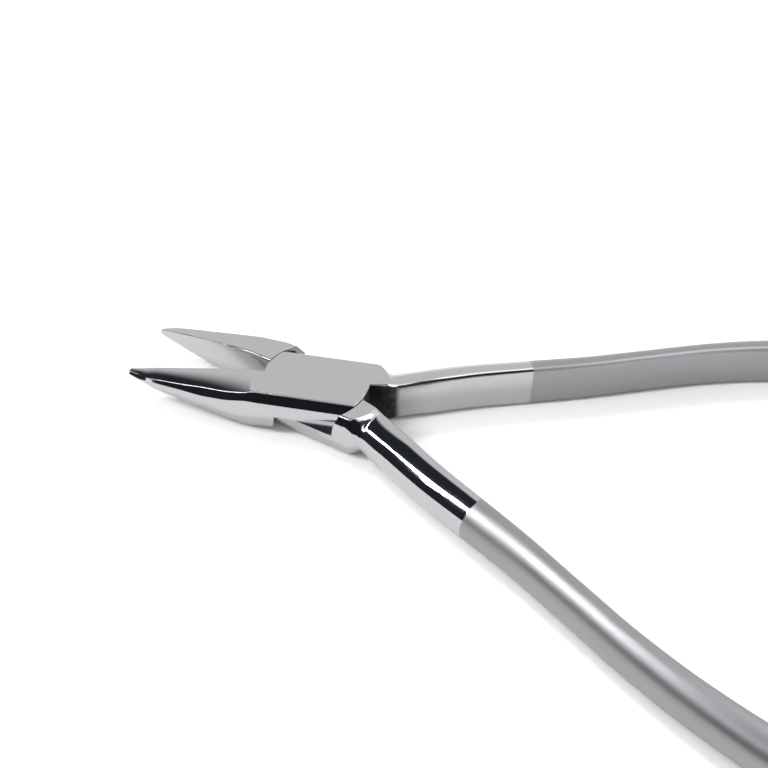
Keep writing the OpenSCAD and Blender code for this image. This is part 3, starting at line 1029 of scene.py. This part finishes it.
def dressed(piece, material):
    """The material put on the piece, as its only one."""
    piece.data.materials.clear()
    piece.data.materials.append(material)
    print(piece.name, "wears", material.name, "of", len(material.node_tree.nodes), "nodes")


dressed(round_half, half_steel("upper_half_steel", False, REST_OPENING / 2))
dressed(square_half, half_steel("lower_half_steel", True, -REST_OPENING / 2))

# %% [markdown]
# ## Steel of the screw
# The lathe leaves fine rings about the axis. They are a noise of the distance from the axis
# and of the height alone, so they run around the screw, in its height and in its roughness.

# %% Turned steel
TURNED_STEEL = (0.42, 0.42, 0.43, 1)
TURNED_CELLS = 9000
TURNED_ROUGHNESS = (0.16, 0.3)
SCREW_BUMP = 0.3


def screw_steel(name):
    """Turned steel: a noise read at the square root of X squared plus Y squared, and at Z."""
    material, tree, output = node_tree(name)
    x, y, z = axes(tree, add(tree, "TexCoord").outputs["Object"])
    squares = maths(tree, "ADD", maths(tree, "MULTIPLY", x, x), maths(tree, "MULTIPLY", y, y))
    radius = maths(tree, "POWER", squares, 0.5)
    ring_place = add(tree, "CombineXYZ", {"X": radius, "Y": 0.0, "Z": z}).outputs[0]
    turned = noise(tree, ring_place, TURNED_CELLS, detail=3, roughness=0.7)
    rough = ramp(tree, turned, *NOISE_RANGE, *TURNED_ROUGHNESS)
    bare_metal(tree, output, TURNED_STEEL, rough, turned, SCREW_BUMP)
    return material


dressed(pivot_screw, screw_steel("turned_screw_steel"))

# %% [markdown]
# ## The white table
# The pliers lie on a plain white table. To the camera its paint is pure white, and to every
# other ray a shade darker, with faint clouds. So the backdrop is clean and keeps the shadow.
# It lies a hair below the cheek, because two faces in one plane would flicker.

# %% White table
TABLE_SIDE = 3.0
TABLE_GAP = 0.02
TABLE_CELLS = 40
TABLE_TONE = (0.92, 0.94)
TABLE_ROUGHNESS = 0.9


def table_paint(name):
    """White paint: its tone is a wide noise, or 1 where the camera sees it directly."""
    material, tree, output = node_tree(name)
    place = add(tree, "TexCoord").outputs["Object"]
    tone = ramp(tree, noise(tree, place, TABLE_CELLS, detail=2), *NOISE_RANGE, *TABLE_TONE)
    tone = between(tree, add(tree, "LightPath").outputs["Is Camera Ray"], tone, 1.0)
    colour = add(tree, "CombineColor", {0: tone, 1: tone, 2: tone}).outputs[0]
    shader = add(tree, "BsdfPrincipled", {
        "Base Color": colour, "Roughness": TABLE_ROUGHNESS, "Specular IOR Level": 0.0,
    })
    tree.links.new(shader.outputs[0], output.inputs["Surface"])
    return material


rim, level = TABLE_SIDE / 2, -TABLE_GAP * MM
white_table = surface("white_table", [
    (-rim, -rim, level), (rim, -rim, level), (rim, rim, level), (-rim, rim, level),
], [(0, 1, 2, 3)])
dressed(white_table, table_paint("white_table"))

# %% [markdown]
# ## What the polished steel sees
# A mirror has no colour of its own. Each dark band and bright plane on the beaks is the picture
# of something in the room, and its place follows from the direction that the steel mirrors. So
# the room is painted by direction, on a dome that only reflections see: dark cloths behind and
# in front, bright windows and ceiling between. Turn is the angle around the table from the X
# axis, and rise the angle above it, in degrees.

# %% Cloths and windows as patches of a dome
DOME_RADIUS = 1300
DOME_COLUMNS = 96
DOME_ROWS = 60
DOME_SINK = 0.01
DOME_FRONT = -80
# turn from, to, rise from, to, softness of the first border and of the others, slant of the
# first border in degrees of turn per degree of rise, and the colour that the steel sees
PATCHES = {
    "back_cloth": (-184, -100, -4, 50, 10, 2, 0.8, (0.03, 0.034, 0.046)),
    "high_cloth": (-150, -100, 43, 72, 9, 3, 1.37, (0.03, 0.034, 0.046)),
    "low_cloth": (-136, -40, -3, 38, 2, 2, 0.0, (0.018, 0.02, 0.026)),
    "camera_side": (-139, -34, 30, 84, 3, 3, 0.0, (0.085, 0.09, 0.1)),
    "window_front": (-137, -62, 36, 47, 2, 2, 0.0, (2.2, 2.25, 2.3)),
    "window_right": (-35, 28, 14, 82, 2, 3, 0.0, (2.6, 2.65, 2.75)),
    "ceiling": (32, 104, 48, 84, 5, 4, 0.0, (1.32, 1.33, 1.35)),
}


def dome_shell(name):
    """Half sphere over the table: radius times the cosines and sines of turn and rise."""
    turn = np.linspace(0, FULL_TURN, DOME_COLUMNS, endpoint=False)[None, :]
    rise = np.linspace(-DOME_SINK, math.pi / 2 - DOME_SINK, DOME_ROWS)[:, None]
    return skin(name, DOME_RADIUS * np.stack(np.broadcast_arrays(
        np.cos(rise) * np.cos(turn), np.cos(rise) * np.sin(turn), np.sin(rise)), axis=-1))


def dome_paint(name):
    """Each patch is a product of four soft steps of turn and rise, laid over the ones before
    it. Between the patches the dome is clear. Turn is counted from the dome's front, so that
    the place where it jumps by a full turn lies away from the patches."""
    material, tree, output = node_tree(name)
    place = add(tree, "TexCoord").outputs["Object"]
    turned = mapped(tree, place, turn=(0, 0, math.radians(-DOME_FRONT)))
    unit = add(tree, "VectorMath", {0: turned}, operation="NORMALIZE").outputs[0]
    x, y, z = axes(tree, unit)
    turn_seen = maths(tree, "DIVIDE", maths(tree, "ARCTAN2", y, x), math.radians(1))
    rise_seen = maths(tree, "DIVIDE", maths(tree, "ARCSINE", z), math.radians(1))
    cover, shown = 0.0, (0.0, 0.0, 0.0, 1.0)
    for first, last, low, high, blend, soft, slant, colour in PATCHES.values():
        first, last = first - DOME_FRONT, last - DOME_FRONT
        leaning = maths(tree, "MULTIPLY_ADD", rise_seen, slant, turn_seen)
        inside = ramp(tree, leaning, first - blend, first + blend)
        for seen, outer, inner in (
            (turn_seen, last + soft, last - soft),
            (rise_seen, low - soft, low + soft),
            (rise_seen, high + soft, high - soft),
        ):
            inside = maths(tree, "MULTIPLY", inside, ramp(tree, seen, outer, inner))
        cover = maths(tree, "MAXIMUM", cover, inside)
        shown = tinted(tree, inside, shown, (*colour, 1.0))
    lit = add(tree, "Emission", {"Color": shown, "Strength": 1.0}).outputs[0]
    clear = add(tree, "BsdfTransparent").outputs[0]
    mixed = add(tree, "MixShader", {0: cover, 1: clear, 2: lit}).outputs[0]
    tree.links.new(mixed, output.inputs["Surface"])
    return material


studio_dome = dome_shell("studio_dome")
dressed(studio_dome, dome_paint("studio_patches"))
studio_dome.visible_camera = False
studio_dome.visible_diffuse = False
studio_dome.visible_shadow = False
studio_dome.visible_transmission = False

# %% [markdown]
# ## Panels and lamp
# The white line along a neck and the bright streak along the satin are the pictures of two
# narrow panels, drawn by the directions of their corners seen from the joint. The shadow comes
# from one wide lamp at the back, which lights the whole table evenly and isn't seen in the
# polish.

# %% Two bright panels and one wide lamp
PANEL_DISTANCE = 0.6
NECK_LIGHT = 14.0
NECK_PANEL = np.array([
    [-173, 37], [-166, 35], [-160, 38], [-150, 39], [-146, 37], [-146, 54], [-150, 53],
    [-158, 50], [-165, 41], [-171, 42],
])
SATIN_LIGHT = 30.0
SATIN_PANEL = np.array([
    [-154, 62], [-151, 44], [-149.5, 36], [-146, 32], [-145, 44], [-146, 60], [-148, 76],
    [-153, 76],
])
LAMP_TURN, LAMP_RISE, LAMP_SPREAD, LAMP_LIGHT = 150, 52, 14.0, 1.4


def direction(turn, rise):
    """Unit vector from the joint to a place in the room: the cosine of rise times the cosine
    and the sine of turn, and the sine of rise, with both angles in degrees."""
    turn, rise = np.radians(turn), np.radians(rise)
    flat = np.cos(rise)
    return np.stack([flat * np.cos(turn), flat * np.sin(turn), np.sin(rise)], axis=-1)


def light_panel(name, corners, light):
    """Bright panel whose corners are directions seen from the joint, times the distance."""
    points = direction(corners[:, 0], corners[:, 1]) * PANEL_DISTANCE
    panel = surface(name, points, [list(range(len(points)))])
    material, tree, output = node_tree(name)
    lit = add(tree, "Emission", {"Color": (1, 1, 1, 1), "Strength": light}).outputs[0]
    tree.links.new(lit, output.inputs["Surface"])
    dressed(panel, material)
    panel.visible_camera = False
    panel.visible_shadow = False


light_panel("neck_panel", NECK_PANEL, NECK_LIGHT)
light_panel("satin_panel", SATIN_PANEL, SATIN_LIGHT)

lamp_data = bpy.data.lights.new("back_softbox", "SUN")
lamp_data.energy = LAMP_LIGHT
lamp_data.angle = math.radians(LAMP_SPREAD)
lamp = bpy.data.objects.new("back_softbox", lamp_data)
lamp.rotation_mode = "QUATERNION"
lamp.rotation_quaternion = Vector(direction(LAMP_TURN, LAMP_RISE)).to_track_quat("Z", "Y")
lamp.visible_glossy = False
bpy.context.scene.collection.objects.link(lamp)
print("lamp from turn", LAMP_TURN, "and rise", LAMP_RISE, "with light", LAMP_LIGHT)

# %% [markdown]
# ## The white room
# The room itself is white to the camera and in the polish, and dimmer as a light, so that the
# table keeps the pliers' shadow. Light Path tells the two kinds of ray apart.

# %% White room
ROOM_LEVEL = 0.56

world = bpy.data.worlds.new("white_room")
world.use_nodes = True
room = world.node_tree
room.nodes.clear()
ray = add(room, "LightPath").outputs
plainly = maths(room, "ADD", ray["Is Camera Ray"], ray["Is Glossy Ray"])
plainly = maths(room, "ADD", plainly, ray["Is Transmission Ray"], clamp=True)
strength = maths(room, "MULTIPLY_ADD", plainly, 1.0 - ROOM_LEVEL, ROOM_LEVEL)
backdrop = add(room, "Background", {"Color": (1, 1, 1, 1), "Strength": strength})
room.links.new(backdrop.outputs[0], add(room, "OutputWorld").inputs["Surface"])
bpy.context.scene.world = world
bpy.context.scene.view_settings.view_transform = "Standard"
print("the room is 1 to the eye and", ROOM_LEVEL, "as a light")
